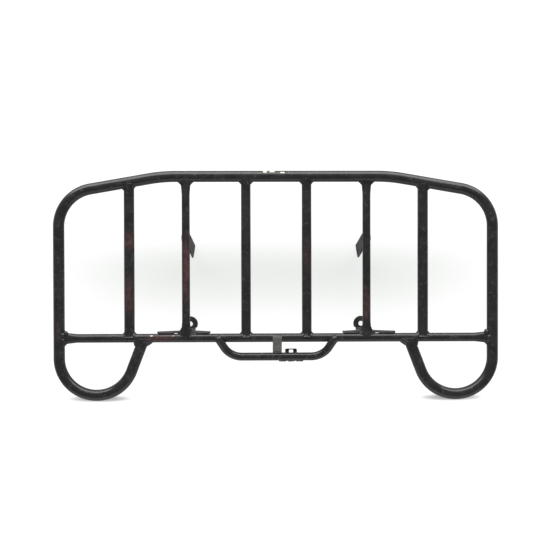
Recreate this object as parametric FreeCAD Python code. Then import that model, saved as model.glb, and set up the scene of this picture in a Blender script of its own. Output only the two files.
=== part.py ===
import FreeCAD, Part
import math
import os

# All-terrain vehicle front rack: a welded steel tube carrier, in millimetres.
# The rack lies level, as on the vehicle: +X right, +Y towards the bowed front edge, +Z up.
# The origin is under the middle of the rack, at the height of its four feet.

# Layout, measured between tube axes
SIDE_SPAN = 857.0            # between the two side tubes
FRAME_LENGTH = 431.3         # from the front edge to the bottom of the rear loops
CROSS_TO_FRONT = 318.7       # from the cross tube to the front edge
FOOT_DEPTH = 90.0            # from the plane of the tubes down to the four feet
BOW_SPAN = 450.0             # straight middle of the front edge, between its two bends
BOW_SLOPE_DEG = 9.8          # how far the ends of the front edge sweep back
BOW_BEND_R = 300.0
CORNER_BEND_R = 75.0
LOOP_BEND_R = 73.5
ARM_LEAN_DEG = 21.0          # lean of each loop's inner arm from straight ahead

# Tube stock: outside diameter and wall
PERIMETER_OD = 22.2
CROSS_OD = 17.3
OUTER_SLAT_OD = 20.6
BRACKETED_SLAT_OD = 15.9
INNER_SLAT_OD = 19.05
HOOP_OD = 15.9
TUBE_WALL = 1.6

# Slats, by the distance of their axes from the middle
OUTER_SLAT_X = 290.0
BRACKETED_SLAT_X = 178.5
INNER_SLAT_X = 60.0

# Pressed tube ends: half width in the plane of the rack, half height, and length of the taper
SLAT_END_HALF_WIDTH = 9.65
SLAT_END_HALF_HEIGHT = 6.1
CROSS_END_HALF_WIDTH = 11.0
CROSS_END_HALF_HEIGHT = 5.8
PRESSED_TAPER = 28.0
TAPER_STEPS = 4
OVAL_POINTS = 16

# Centre hoop
HOOP_LEG_X = 115.0           # where its legs cross the cross tube
HOOP_CORNER_X = 91.5         # where the lines of its legs and its rear bar meet
HOOP_REACH = 37.3            # from the cross tube's axis to the axis of its rear bar, seen from above
HOOP_LEG_RISE = 13.5         # height of the leg ends above the plane of the tubes
HOOP_BEND_R = 41.0
HOOP_CAP_SET_BACK = 3.0      # centre of the weld cap, in from the end of the leg
HOOP_CAP_BULGE = 0.8         # how far the weld cap stands out around the leg

# Centre strap, formed over the cross tube
STRAP_X = 1.4
STRAP_WIDTH = 18.0
STRAP_THICKNESS = 3.0
STRAP_WRAP_DEG = 28.0        # how far it goes over the top of the cross tube, towards the front

# Slotted tab under the hoop
TAB_X = 29.0
TAB_EAR_WIDTH = 23.4
TAB_BASE_WIDTH = 50.6
TAB_THICKNESS = 3.0
TAB_FRONT_REACH = 14.8       # from the hoop's axis to the ear's edge
TAB_REAR_REACH = 9.7         # from the hoop's axis to the base's edge
TAB_BASE_DEPTH = 9.0
TAB_SLOT_WIDTH = 8.2
TAB_SLOT_LENGTH = 16.0
TAB_SLOT_RIM = 1.9           # metal left between the slot and the ear's edge
TAB_SLOT_CORNER_R = 1.2
TAB_CORNER_R = 2.5

# Lug brackets on the cross tube
LUG_X = 176.0                # bolt hole
LUG_Y_FROM_CROSS = 22.5
LUG_HOLE_D = 10.0
LUG_R = 15.5                 # outside of the ring round the bolt hole
LUG_NECK_WIDTH = 22.0
LUG_PLATE_X = 183.0          # middle of the long top edge
LUG_PLATE_LENGTH = 105.0
LUG_THICKNESS = 3.0
LUG_PLATE_GAP = 1.2          # between the plate and the side of the cross tube
LUG_TOP_ABOVE_AXIS = 3.0
LUG_SHOULDER_DEPTH = 9.0     # height of the full length top part
LUG_TAPER_DEPTH = 30.0
LUG_FOLD_R = 2.0
LUG_NOTCH_CLEARANCE = 1.0    # round the foot of the slat that passes through the top edge
LUG_CORNER_R = 5.0

# Stays under the bracketed slats
STAY_TOP_X = 172.0           # inner face of the web under the slat
STAY_FOOT_X = 165.0          # inner face of the web at its foot
STAY_THICKNESS = 3.0
STAY_FOLD_R = 2.5
STAY_OUTER_LIP = 0.5         # the seat stands this far out past the slat
STAY_SEAT_FROM_CROSS = 180.0
STAY_SEAT_LENGTH = 28.0
STAY_SEAT_CORNER_R = 7.0
STAY_KNEE_STEP = 12.0        # the web's rear edge stands out this far behind the seat
STAY_KNEE_HEIGHT = 52.0
STAY_FOOT_FROM_CROSS = 157.2
STAY_FOOT_LENGTH = 26.8
STAY_HOLE_D = 9.0
STAY_HOLE_HEIGHT = 17.0
STAY_CORNER_R = 6.0

# Weld beads
FRONT_WELD = (6.0, 6.0)      # along the front edge, and along the slat
REAR_WELD = (3.5, 4.0)       # along the cross tube, and along the slat
BRACKETED_WELD = (8.0, 12.0)
SIDE_WELD = (5.0, 5.0)       # along the side tube, and along the cross tube
ARM_WELD = (8.0, 8.0)        # along the cross tube, and along the loop's arm
WELD_TOE = 0.4               # thickness at the bead's thin end
WELD_LIP = 1.6               # how far a bead stands out above and below its tube
WELD_ROOT = 0.5              # the bead starts this far from the other tube's axis
BEAD_R = 2.8
BEAD_END_GAP = 4.0           # between the end of a plate and the end of its bead
LUG_BEAD_GAP = 5.0           # open length between the slat's weld and the lug plate's outer bead
STAY_BEAD_LENGTH = 7.0
STAY_BEAD_SET_BACK = 10.3    # from the seat's front edge to the middle of the bead
STRAP_FILLET_LEG = 2.5       # of the weld at the strap's front end
STRAP_FILLET_INSET = 1.0     # from the strap's sides
STRAP_BEAD_DEG = 28.0        # how far up the hoop's front the rear bead lies
TAB_BEADS = 3                # short runs along the tab's rear edge
TAB_BEAD_GAP = 4.5

# Worked out from the sizes above
SIDE_X = SIDE_SPAN / 2
FRONT_Y = FRAME_LENGTH / 2
CROSS_Y = FRONT_Y - CROSS_TO_FRONT
LOOP_Y = LOOP_BEND_R - FRAME_LENGTH / 2
AXIS_Z = FOOT_DEPTH
PERIMETER_R = PERIMETER_OD / 2
CROSS_R = CROSS_OD / 2
HOOP_R = HOOP_OD / 2
BRACKETED_SLAT_R = BRACKETED_SLAT_OD / 2
BOW_SLOPE = math.tan(math.radians(BOW_SLOPE_DEG))
LEAN = math.radians(ARM_LEAN_DEG)

X = FreeCAD.Vector(1, 0, 0)
Y = FreeCAD.Vector(0, 1, 0)
Z = FreeCAD.Vector(0, 0, 1)
MIDDLE = FreeCAD.Vector(0, 0, 0)


def point(x, y, z):
    return FreeCAD.Vector(x, y, z)


def unit(vector):
    return vector * (1 / vector.Length)


def tangent_path(points, radii, closed=False):
    """Edges through the points, with a tangent arc of the given radius at each corner."""
    count = len(points)
    arcs = []
    for i in range(count):
        corner = points[i]
        if radii[i] == 0:
            arcs.append((corner, None, corner))
            continue
        back = unit(points[i - 1] - corner)
        ahead = unit(points[(i + 1) % count] - corner)
        half_angle = back.getAngle(ahead) / 2
        reach = radii[i] / math.tan(half_angle)
        centre = corner + unit(back + ahead) * (radii[i] / math.sin(half_angle))
        middle = centre + unit(corner - centre) * radii[i]
        arcs.append((corner + back * reach, middle, corner + ahead * reach))
    edges = []
    for i in range(count):
        start, middle, end = arcs[i]
        if middle is not None:
            edges.append(Part.Arc(start, middle, end).toShape())
        if i + 1 < count or closed:
            edges.append(Part.LineSegment(end, arcs[(i + 1) % count][0]).toShape())
    return edges


def swept_rod(edges, start, direction, radius):
    """Solid round rod along the edges."""
    section = Part.Wire(Part.Circle(start, direction, radius).toShape())
    return Part.Wire(edges).makePipeShell([section], True, False)


def straight_rod(start, end, radius):
    return Part.makeCylinder(radius, (end - start).Length, start, end - start)


def plate(points, radii, thickness_vector):
    """Flat plate with rounded corners, thickened along the vector."""
    return Part.Face(Part.Wire(tangent_path(points, radii, True))).extrude(thickness_vector)


def oval(centre, across, half_width, half_height):
    points = []
    for i in range(OVAL_POINTS):
        turn = 2 * math.pi * i / OVAL_POINTS
        points.append(centre + across * (half_width * math.cos(turn)) + Z * (half_height * math.sin(turn)))
    curve = Part.BSplineCurve()
    curve.interpolate(points, True)
    return Part.Wire(curve.toShape())


def pressed_rod(start, end, radius, half_width, half_height, start_cover, end_cover, inset):
    """Round rod whose two ends are pressed oval; a cover is the length hidden in the tube it meets."""
    length = (end - start).Length
    along = unit(end - start)
    across = Z.cross(along)
    stations = []
    for step in range(TAPER_STEPS + 1):
        share = step / TAPER_STEPS
        pressed = 1 - share * share * (3 - 2 * share)
        stations.append((start_cover + PRESSED_TAPER * share, pressed))
        stations.append((length - end_cover - PRESSED_TAPER * share, pressed))
    stations.append((0, 1))
    stations.append((length, 1))
    sections = []
    for distance, pressed in sorted(stations):
        wide = radius + (half_width - radius) * pressed - inset
        high = radius + (half_height - radius) * pressed - inset
        sections.append(oval(start + along * distance, across, wide, high))
    return Part.makeLoft(sections, True, True)


def weld_collar(root, along, across, half_width, half_height, header_r, size):
    """Bead round a tube end: wide against the tube it meets, thin where it runs out along its own."""
    stations = ((WELD_ROOT, WELD_LIP, WELD_LIP), (header_r, size[0], WELD_LIP), (header_r + size[1], 0, 0))
    sections = []
    for distance, side, lip in stations:
        sections.append(oval(root + along * distance, across, half_width + WELD_TOE + side,
                             half_height + WELD_TOE + lip))
    return Part.makeLoft(sections, True, True)


def bead(start, end):
    """Straight round bead with rounded ends."""
    rod = straight_rod(start, end, BEAD_R)
    return rod.fuse([Part.makeSphere(BEAD_R, start), Part.makeSphere(BEAD_R, end)]).removeSplitter()


def mirrored(shape):
    return shape.mirror(MIDDLE, X)


def front_axis_y(x):
    """Where the axis of the bowed front edge lies at a place across the rack."""
    return FRONT_Y - max(abs(x) - BOW_SPAN / 2, 0) * BOW_SLOPE


def perimeter_path():
    """Left arm, left loop, side, front edge, side, right loop, right arm."""
    loop_drop = LOOP_BEND_R * math.tan((math.pi - LEAN) / 2)
    loop_corner = point(SIDE_X, LOOP_Y - loop_drop, AXIS_Z)
    front_corner = point(SIDE_X, front_axis_y(SIDE_X), AXIS_Z)
    bow_corner = point(BOW_SPAN / 2, FRONT_Y, AXIS_Z)
    arm_rise = CROSS_Y + PERIMETER_OD - loop_corner.y
    arm_end = point(SIDE_X - arm_rise * math.tan(LEAN), loop_corner.y + arm_rise, AXIS_Z)
    right = [bow_corner, front_corner, loop_corner, arm_end]
    left = [point(-p.x, p.y, p.z) for p in reversed(right)]
    bends = [BOW_BEND_R, CORNER_BEND_R, LOOP_BEND_R, 0]
    return left + right, bends[::-1] + bends


def arm_root():
    """Where the right loop's inner arm meets the cross tube's axis, and the way it leaves."""
    points, bends = perimeter_path()
    corner = points[-2]
    way = unit(corner - points[-1])
    return corner + way * ((CROSS_Y - corner.y) / way.y), way


def arm_trim():
    """Block in front of the cross tube's axis, where the right loop's arm stops."""
    arm, way = arm_root()
    return Part.makeBox(4 * PERIMETER_OD, 2 * PERIMETER_OD, 2 * PERIMETER_OD,
                        point(arm.x - 2 * PERIMETER_OD, CROSS_Y, AXIS_Z - PERIMETER_OD))


def perimeter_rod(radius):
    points, bends = perimeter_path()
    rod = swept_rod(tangent_path(points, bends), points[0], points[1] - points[0], radius)
    return rod.cut([arm_trim(), mirrored(arm_trim())])


def cross_rod(inset):
    return pressed_rod(point(-SIDE_X, CROSS_Y, AXIS_Z), point(SIDE_X, CROSS_Y, AXIS_Z), CROSS_R,
                       CROSS_END_HALF_WIDTH, CROSS_END_HALF_HEIGHT, PERIMETER_R, PERIMETER_R, inset)


def slat_ends(x):
    return point(x, CROSS_Y, AXIS_Z), point(x, front_axis_y(x), AXIS_Z)


def round_slat_rod(x, radius):
    rear, front = slat_ends(x)
    return straight_rod(rear, front, radius)


def bracketed_slat_rod(x, inset):
    rear, front = slat_ends(x)
    return pressed_rod(rear, front, BRACKETED_SLAT_R, SLAT_END_HALF_WIDTH, SLAT_END_HALF_HEIGHT,
                       CROSS_R, PERIMETER_R, inset)


def hoop_points():
    """Ends of the legs, and the corners where their lines meet the line of the rear bar."""
    leg = point(HOOP_LEG_X, CROSS_Y, AXIS_Z + HOOP_LEG_RISE)
    corner = point(HOOP_CORNER_X, CROSS_Y - HOOP_REACH, AXIS_Z)
    return [point(-leg.x, leg.y, leg.z), point(-corner.x, corner.y, corner.z), corner, leg]


def hoop_rod(radius):
    points = hoop_points()
    edges = tangent_path(points, [0, HOOP_BEND_R, HOOP_BEND_R, 0])
    return swept_rod(edges, points[0], points[1] - points[0], radius)


def hoop_bar(x, dy, dz):
    """Point near the hoop's rear bar, from its axis."""
    return point(x, CROSS_Y - HOOP_REACH + dy, AXIS_Z + dz)


def over_cross(x, radius, angle):
    """Point round the cross tube's axis; the angle goes from straight up towards the front."""
    return point(x, CROSS_Y + radius * math.sin(angle), AXIS_Z + radius * math.cos(angle))


def strap_section():
    """Strap seen from the side: over the cross tube, then straight to the hoop's rear bar."""
    x = STRAP_X - STRAP_WIDTH / 2
    inner = CROSS_R
    outer = CROSS_R + STRAP_THICKNESS
    slope = math.asin((inner + outer) / 2 / HOOP_REACH)
    wrap = math.radians(STRAP_WRAP_DEG)
    run = point(0, -HOOP_REACH * math.cos(slope) ** 2, -HOOP_REACH * math.cos(slope) * math.sin(slope))
    inner_start = over_cross(x, inner, wrap)
    outer_start = over_cross(x, outer, wrap)
    inner_end = over_cross(x, inner, -slope)
    outer_end = over_cross(x, outer, -slope)
    middle = (wrap - slope) / 2
    edges = [Part.Arc(inner_start, over_cross(x, inner, middle), inner_end).toShape(),
             Part.LineSegment(inner_end, inner_end + run).toShape(),
             Part.LineSegment(inner_end + run, outer_end + run).toShape(),
             Part.LineSegment(outer_end + run, outer_end).toShape(),
             Part.Arc(outer_end, over_cross(x, outer, middle), outer_start).toShape(),
             Part.LineSegment(outer_start, inner_start).toShape()]
    return Part.Face(Part.Wire(edges))


def strap_shape(hoop):
    return strap_section().extrude(X * STRAP_WIDTH).cut(hoop)


def strap_front_fillet():
    """Weld in the corner between the strap's front end and the cross tube."""
    x = STRAP_X - STRAP_WIDTH / 2 + STRAP_FILLET_INSET
    start = math.radians(STRAP_WRAP_DEG)
    end = start + STRAP_FILLET_LEG / CROSS_R
    root = over_cross(x, CROSS_R, start)
    tip = over_cross(x, CROSS_R, end)
    top = over_cross(x, CROSS_R + STRAP_FILLET_LEG, start)
    edges = [Part.Arc(root, over_cross(x, CROSS_R, (start + end) / 2), tip).toShape(),
             Part.LineSegment(tip, top).toShape(),
             Part.LineSegment(top, root).toShape()]
    return Part.Face(Part.Wire(edges)).extrude(X * (STRAP_WIDTH - 2 * STRAP_FILLET_INSET))


def strap_rear_bead(cutters):
    """Weld where the strap meets the hoop's rear bar."""
    half = STRAP_WIDTH / 2 - BEAD_END_GAP
    rise = math.radians(STRAP_BEAD_DEG)
    place = hoop_bar(STRAP_X, HOOP_R * math.cos(rise), HOOP_R * math.sin(rise))
    return bead(place - X * half, place + X * half).cut(cutters)


def tab_shape():
    """Ear with a slot towards the front, on a longer base under the hoop's rear bar."""
    half_ear = TAB_EAR_WIDTH / 2
    half_base = TAB_BASE_WIDTH / 2
    step = TAB_BASE_DEPTH - TAB_REAR_REACH
    top = -HOOP_R
    corners = [(-half_base, -TAB_REAR_REACH), (half_base, -TAB_REAR_REACH), (half_base, step),
               (half_ear, step), (half_ear, TAB_FRONT_REACH), (-half_ear, TAB_FRONT_REACH),
               (-half_ear, step), (-half_base, step)]
    points = [hoop_bar(TAB_X + x, y, top) for x, y in corners]
    body = plate(points, [TAB_CORNER_R] * len(points), Z * -TAB_THICKNESS)
    half_slot = TAB_SLOT_WIDTH / 2
    slot_front = TAB_FRONT_REACH - TAB_SLOT_RIM
    slot_rear = slot_front - TAB_SLOT_LENGTH
    slot_corners = [(-half_slot, slot_rear), (half_slot, slot_rear), (half_slot, slot_front), (-half_slot, slot_front)]
    slot = plate([hoop_bar(TAB_X + x, y, top) for x, y in slot_corners],
                 [TAB_SLOT_CORNER_R] * len(slot_corners), Z * -TAB_THICKNESS)
    return body.cut(slot)


def tab_beads(cutters):
    """Short runs along the base's rear edge, and one each side of the slot."""
    height = -HOOP_R
    pitch = TAB_BASE_WIDTH / TAB_BEADS
    half = (pitch - TAB_BEAD_GAP) / 2 - BEAD_R / 2
    beads = []
    for i in range(TAB_BEADS):
        x = TAB_X + (i - (TAB_BEADS - 1) / 2) * pitch
        place = hoop_bar(x, -HOOP_R, height + BEAD_R / 2)
        beads.append(bead(place - X * half, place + X * half).cut(cutters))
    ear = (TAB_EAR_WIDTH - TAB_SLOT_WIDTH) / 2
    for side in (-1, 1):
        place = hoop_bar(TAB_X + side * (TAB_SLOT_WIDTH + ear) / 2, HOOP_R, height + BEAD_R / 2)
        half = ear / 2 - BEAD_R
        beads.append(bead(place - X * half, place + X * half).cut(cutters))
    return beads


def lug_bracket_shape():
    """Right bracket: plate along the cross tube, notched for the slat, folded forward into a lug."""
    inner_y = CROSS_Y + CROSS_R + LUG_PLATE_GAP
    outer_y = inner_y + LUG_THICKNESS
    top = AXIS_Z + LUG_TOP_ABOVE_AXIS
    shoulder = top - LUG_SHOULDER_DEPTH
    neck = shoulder - LUG_TAPER_DEPTH
    fold_top = LUG_THICKNESS + LUG_FOLD_R
    half_plate = LUG_PLATE_LENGTH / 2
    half_lug = LUG_NECK_WIDTH / 2
    outline = [(LUG_PLATE_X - half_plate, top), (LUG_PLATE_X + half_plate, top),
               (LUG_PLATE_X + half_plate, shoulder), (LUG_X + half_lug, neck),
               (LUG_X + half_lug, fold_top), (LUG_X - half_lug, fold_top),
               (LUG_X - half_lug, neck), (LUG_PLATE_X - half_plate, shoulder)]
    round_r = LUG_CORNER_R
    web = plate([point(x, inner_y, z) for x, z in outline],
                [0, 0, round_r, round_r, 0, 0, round_r, round_r], Y * LUG_THICKNESS)
    notch_half = SLAT_END_HALF_WIDTH + LUG_NOTCH_CLEARANCE
    notch_bottom = AXIS_Z - BRACKETED_SLAT_R - LUG_NOTCH_CLEARANCE
    notch = Part.makeBox(2 * notch_half, LUG_THICKNESS, top - notch_bottom,
                         point(BRACKETED_SLAT_X - notch_half, inner_y, notch_bottom))
    fold_y = outer_y + LUG_FOLD_R
    fold_outer_r = LUG_FOLD_R + LUG_THICKNESS
    diagonal = math.sqrt(0.5)

    def on_fold(radius, dy, dz):
        return point(LUG_X - half_lug, fold_y + radius * dy, fold_top + radius * dz)

    fold = [Part.Arc(on_fold(LUG_FOLD_R, -1, 0), on_fold(LUG_FOLD_R, -diagonal, -diagonal),
                     on_fold(LUG_FOLD_R, 0, -1)).toShape(),
            Part.LineSegment(on_fold(LUG_FOLD_R, 0, -1), on_fold(fold_outer_r, 0, -1)).toShape(),
            Part.Arc(on_fold(fold_outer_r, 0, -1), on_fold(fold_outer_r, -diagonal, -diagonal),
                     on_fold(fold_outer_r, -1, 0)).toShape(),
            Part.LineSegment(on_fold(fold_outer_r, -1, 0), on_fold(LUG_FOLD_R, -1, 0)).toShape()]
    elbow = Part.Face(Part.Wire(fold)).extrude(X * LUG_NECK_WIDTH)
    hole = point(LUG_X, CROSS_Y + LUG_Y_FROM_CROSS, 0)
    tongue = Part.makeBox(LUG_NECK_WIDTH, hole.y - fold_y, LUG_THICKNESS, point(LUG_X - half_lug, fold_y, 0))
    tip = straight_rod(hole, hole + Z * LUG_THICKNESS, LUG_R)
    bore = straight_rod(hole, hole + Z * LUG_THICKNESS, LUG_HOLE_D / 2)
    clear_of_fold = Part.makeBox(2 * LUG_R, LUG_R, LUG_THICKNESS, point(LUG_X - LUG_R, fold_y - LUG_R, 0))
    whole = web.cut(notch).fuse([elbow, tongue, tip.cut(clear_of_fold)]).removeSplitter()
    return whole.cut(bore)


def cross_along_lug():
    """Stretch of the cross tube's round middle as long as the lug plate, as a solid rod."""
    start = LUG_PLATE_X - LUG_PLATE_LENGTH / 2
    section = oval(point(start, CROSS_Y, AXIS_Z), Y, CROSS_R, CROSS_R)
    return Part.Face(section).extrude(X * LUG_PLATE_LENGTH)


def lug_bracket_beads(cutters):
    """Beads in the groove between the plate's top edge and the cross tube, with one short open gap."""
    y = CROSS_Y + CROSS_R + LUG_PLATE_GAP / 2
    z = AXIS_Z + LUG_TOP_ABOVE_AXIS
    inner = LUG_PLATE_X - LUG_PLATE_LENGTH / 2 + BEAD_END_GAP
    outer = LUG_PLATE_X + LUG_PLATE_LENGTH / 2 - BEAD_END_GAP
    weld_half = SLAT_END_HALF_WIDTH + WELD_TOE + BRACKETED_WELD[0]
    slat_inner = BRACKETED_SLAT_X - weld_half - BEAD_R
    slat_outer = BRACKETED_SLAT_X + weld_half + LUG_BEAD_GAP + BEAD_R
    beads = []
    for start, end in ((inner, slat_inner), (slat_outer, outer)):
        beads.append(bead(point(start, y, z), point(end, y, z)).cut(cutters))
    return beads


def stay_shape():
    """Right stay: seat under the slat, folded down into a web with a bolt hole."""
    seat_top = AXIS_Z - BRACKETED_SLAT_R
    seat_bottom = seat_top - STAY_THICKNESS
    fold_bottom = seat_bottom - STAY_FOLD_R
    seat_rear = CROSS_Y + STAY_SEAT_FROM_CROSS
    seat_front = seat_rear + STAY_SEAT_LENGTH
    web_outer_x = STAY_TOP_X + STAY_THICKNESS
    fold_x = web_outer_x + STAY_FOLD_R
    seat_outer_x = BRACKETED_SLAT_X + BRACKETED_SLAT_R + STAY_OUTER_LIP
    foot_rear = CROSS_Y + STAY_FOOT_FROM_CROSS
    foot_front = foot_rear + STAY_FOOT_LENGTH
    outline = [(seat_front, fold_bottom), (foot_front, 0), (foot_rear, 0),
               (seat_rear - STAY_KNEE_STEP, STAY_KNEE_HEIGHT), (seat_rear, fold_bottom)]
    lean = (STAY_TOP_X - STAY_FOOT_X) / fold_bottom
    web = plate([point(STAY_FOOT_X + lean * z, y, z) for y, z in outline],
                [0, STAY_CORNER_R, STAY_CORNER_R, STAY_CORNER_R, 0], X * STAY_THICKNESS)
    fold_outer_r = STAY_FOLD_R + STAY_THICKNESS
    diagonal = math.sqrt(0.5)

    def on_fold(radius, dx, dz):
        return point(fold_x + radius * dx, seat_rear, fold_bottom + radius * dz)

    fold = [Part.Arc(on_fold(STAY_FOLD_R, -1, 0), on_fold(STAY_FOLD_R, -diagonal, diagonal),
                     on_fold(STAY_FOLD_R, 0, 1)).toShape(),
            Part.LineSegment(on_fold(STAY_FOLD_R, 0, 1), on_fold(fold_outer_r, 0, 1)).toShape(),
            Part.Arc(on_fold(fold_outer_r, 0, 1), on_fold(fold_outer_r, -diagonal, diagonal),
                     on_fold(fold_outer_r, -1, 0)).toShape(),
            Part.LineSegment(on_fold(fold_outer_r, -1, 0), on_fold(STAY_FOLD_R, -1, 0)).toShape()]
    elbow = Part.Face(Part.Wire(fold)).extrude(Y * STAY_SEAT_LENGTH)
    seat_outline = [(fold_x, seat_rear), (seat_outer_x, seat_rear), (seat_outer_x, seat_front), (fold_x, seat_front)]
    seat = plate([point(x, y, seat_bottom) for x, y in seat_outline],
                 [0, STAY_SEAT_CORNER_R, STAY_SEAT_CORNER_R, 0], Z * STAY_THICKNESS)
    hole = point(STAY_FOOT_X + lean * STAY_HOLE_HEIGHT, foot_rear + STAY_FOOT_LENGTH / 2, STAY_HOLE_HEIGHT)
    bore = straight_rod(hole - X * STAY_THICKNESS, hole + X * (2 * STAY_THICKNESS), STAY_HOLE_D / 2)
    return web.fuse([elbow, seat]).removeSplitter().cut(bore)


def stay_beads(cutters):
    """A short bead at each side of the slat, on the stay's seat."""
    seat_top = AXIS_Z - BRACKETED_SLAT_R
    middle = CROSS_Y + STAY_SEAT_FROM_CROSS + STAY_SEAT_LENGTH - STAY_BEAD_SET_BACK
    rear = middle - STAY_BEAD_LENGTH / 2
    front = middle + STAY_BEAD_LENGTH / 2
    beads = []
    for side in (-1, 1):
        x = BRACKETED_SLAT_X + side * (BRACKETED_SLAT_R - BEAD_R / 2)
        z = seat_top + BEAD_R / 2
        beads.append(bead(point(x, rear, z), point(x, front, z)).cut(cutters))
    return beads


def hoop_cap(cutters):
    """Weld that closes the right leg's end on top of the cross tube."""
    points = hoop_points()
    end = points[-1]
    ball = Part.makeSphere(HOOP_R + HOOP_CAP_BULGE, end + unit(points[-2] - end) * HOOP_CAP_SET_BACK)
    return ball.cut(cutters)


def both_sides(shapes):
    return shapes + [mirrored(shape) for shape in shapes]


def build():
    perimeter = perimeter_rod(PERIMETER_R)
    cross = cross_rod(0)
    hoop = hoop_rod(HOOP_R)
    parts = {}
    parts["perimeter_tube"] = perimeter.cut([perimeter_rod(PERIMETER_R - TUBE_WALL), cross])
    parts["cross_tube"] = cross.cut([cross_rod(TUBE_WALL), perimeter])

    front_welds = []
    rear_welds = []
    lug_bracket = lug_bracket_shape()
    brackets = [lug_bracket, mirrored(lug_bracket)]
    slats = (("outer", OUTER_SLAT_X, OUTER_SLAT_OD / 2), ("bracketed", BRACKETED_SLAT_X, BRACKETED_SLAT_R),
             ("inner", INNER_SLAT_X, INNER_SLAT_OD / 2))
    for name, distance, radius in slats:
        pressed = name == "bracketed"
        half_width = SLAT_END_HALF_WIDTH if pressed else radius
        half_height = SLAT_END_HALF_HEIGHT if pressed else radius
        for side, x in (("left", -distance), ("right", distance)):
            if pressed:
                rod = bracketed_slat_rod(x, 0)
                bore = bracketed_slat_rod(x, TUBE_WALL)
            else:
                rod = round_slat_rod(x, radius)
                bore = round_slat_rod(x, radius - TUBE_WALL)
            parts["slat_%s_%s" % (side, name)] = rod.cut([bore, perimeter, cross])
            rear, front = slat_ends(x)
            front_weld = weld_collar(front, Y * -1, X, half_width, half_height, PERIMETER_R, FRONT_WELD)
            rear_weld = weld_collar(rear, Y, X * -1, half_width, half_height, CROSS_R,
                                    BRACKETED_WELD if pressed else REAR_WELD)
            front_welds.append(front_weld.cut([rod, perimeter]))
            rear_welds.append(rear_weld.cut([rod, cross] + brackets))

    parts["centre_hoop"] = hoop.cut([hoop_rod(HOOP_R - TUBE_WALL), cross])
    strap = strap_shape(hoop)
    tab = tab_shape()
    parts["centre_strap"] = strap
    parts["hoop_tab"] = tab
    parts["lug_bracket_right"] = lug_bracket
    parts["lug_bracket_left"] = mirrored(lug_bracket)
    stay = stay_shape()
    parts["stay_right"] = stay
    parts["stay_left"] = mirrored(stay)

    parts["slat_front_welds"] = Part.makeCompound(front_welds)
    parts["slat_rear_welds"] = Part.makeCompound(rear_welds)
    side_weld = weld_collar(point(SIDE_X, CROSS_Y, AXIS_Z), X * -1, Y * -1, CROSS_END_HALF_WIDTH,
                            CROSS_END_HALF_HEIGHT, PERIMETER_R, SIDE_WELD).cut([cross, perimeter])
    parts["cross_tube_welds"] = Part.makeCompound(both_sides([side_weld]))
    arm, way = arm_root()
    skew = 1 / math.cos(LEAN)
    arm_weld = weld_collar(arm, way * skew, X * skew, PERIMETER_R, PERIMETER_R, CROSS_R,
                           ARM_WELD).cut([cross, perimeter, arm_trim()])
    parts["loop_arm_welds"] = Part.makeCompound(both_sides([arm_weld]))
    parts["hoop_welds"] = Part.makeCompound(both_sides([hoop_cap([hoop, cross])]))
    strap_welds = [strap_front_fillet(), strap_rear_bead([strap, hoop])]
    parts["strap_welds"] = Part.makeCompound(strap_welds)
    parts["tab_welds"] = Part.makeCompound(tab_beads([tab, hoop]))
    slat_foot = bracketed_slat_rod(BRACKETED_SLAT_X, 0)
    lug_beads = lug_bracket_beads([lug_bracket, cross_along_lug(), slat_foot] + rear_welds)
    parts["lug_bracket_welds"] = Part.makeCompound(both_sides(lug_beads))
    parts["stay_welds"] = Part.makeCompound(both_sides(stay_beads([stay, slat_foot])))
    return parts


os.makedirs("parts", exist_ok=True)
for node, shape in build().items():
    shape.exportStep("parts/%s.step" % node)
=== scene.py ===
"""Looks of a welded all-terrain vehicle front rack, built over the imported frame.

The rack lies level: +X right, +Y towards the bowed front edge, +Z up. Shapes are worked out in
millimetres and put into the meshes in metres. Every tube, plate and weld is a numpy surface that
replaces its CAD node and keeps its form.
"""

import math

import bpy
import numpy as np
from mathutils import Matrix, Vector
from mathutils.geometry import delaunay_2d_cdt


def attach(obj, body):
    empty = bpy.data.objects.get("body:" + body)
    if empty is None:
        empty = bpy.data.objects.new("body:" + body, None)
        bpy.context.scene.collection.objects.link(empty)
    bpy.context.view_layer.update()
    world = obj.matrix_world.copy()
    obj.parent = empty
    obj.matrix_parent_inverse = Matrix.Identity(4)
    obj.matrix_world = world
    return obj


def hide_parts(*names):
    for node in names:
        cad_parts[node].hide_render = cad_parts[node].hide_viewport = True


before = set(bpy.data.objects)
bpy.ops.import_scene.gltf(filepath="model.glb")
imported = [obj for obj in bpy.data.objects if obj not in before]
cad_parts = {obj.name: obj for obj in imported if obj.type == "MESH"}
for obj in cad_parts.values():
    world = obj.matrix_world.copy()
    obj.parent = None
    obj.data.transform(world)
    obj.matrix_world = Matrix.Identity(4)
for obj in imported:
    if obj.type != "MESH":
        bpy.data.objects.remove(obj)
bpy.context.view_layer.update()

EAST = np.array([1.0, 0, 0])
NORTH = np.array([0, 1.0, 0])
UP = np.array([0, 0, 1.0])

# Layout between tube axes, as in the CAD
SIDE_X = 428.5
FRONT_Y = 215.65
CROSS_Y = -103.05
LOOP_Y = -142.15
AXIS_Z = 90.0
BOW_X = 225.0
BOW_SLOPE = math.tan(math.radians(9.8))
ARM_LEAN = math.radians(21.0)
BOW_BEND_R = 300.0
CORNER_BEND_R = 75.0
LOOP_BEND_R = 73.5
LOOP_DROP = LOOP_BEND_R * math.tan((math.pi - ARM_LEAN) / 2)     # from a loop's bend to the corner it rounds
ARM_X = SIDE_X - (CROSS_Y - LOOP_Y + LOOP_DROP) * math.tan(ARM_LEAN)
ARM_STUB = 0.5               # start of an arm, past the loop's bend

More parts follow.
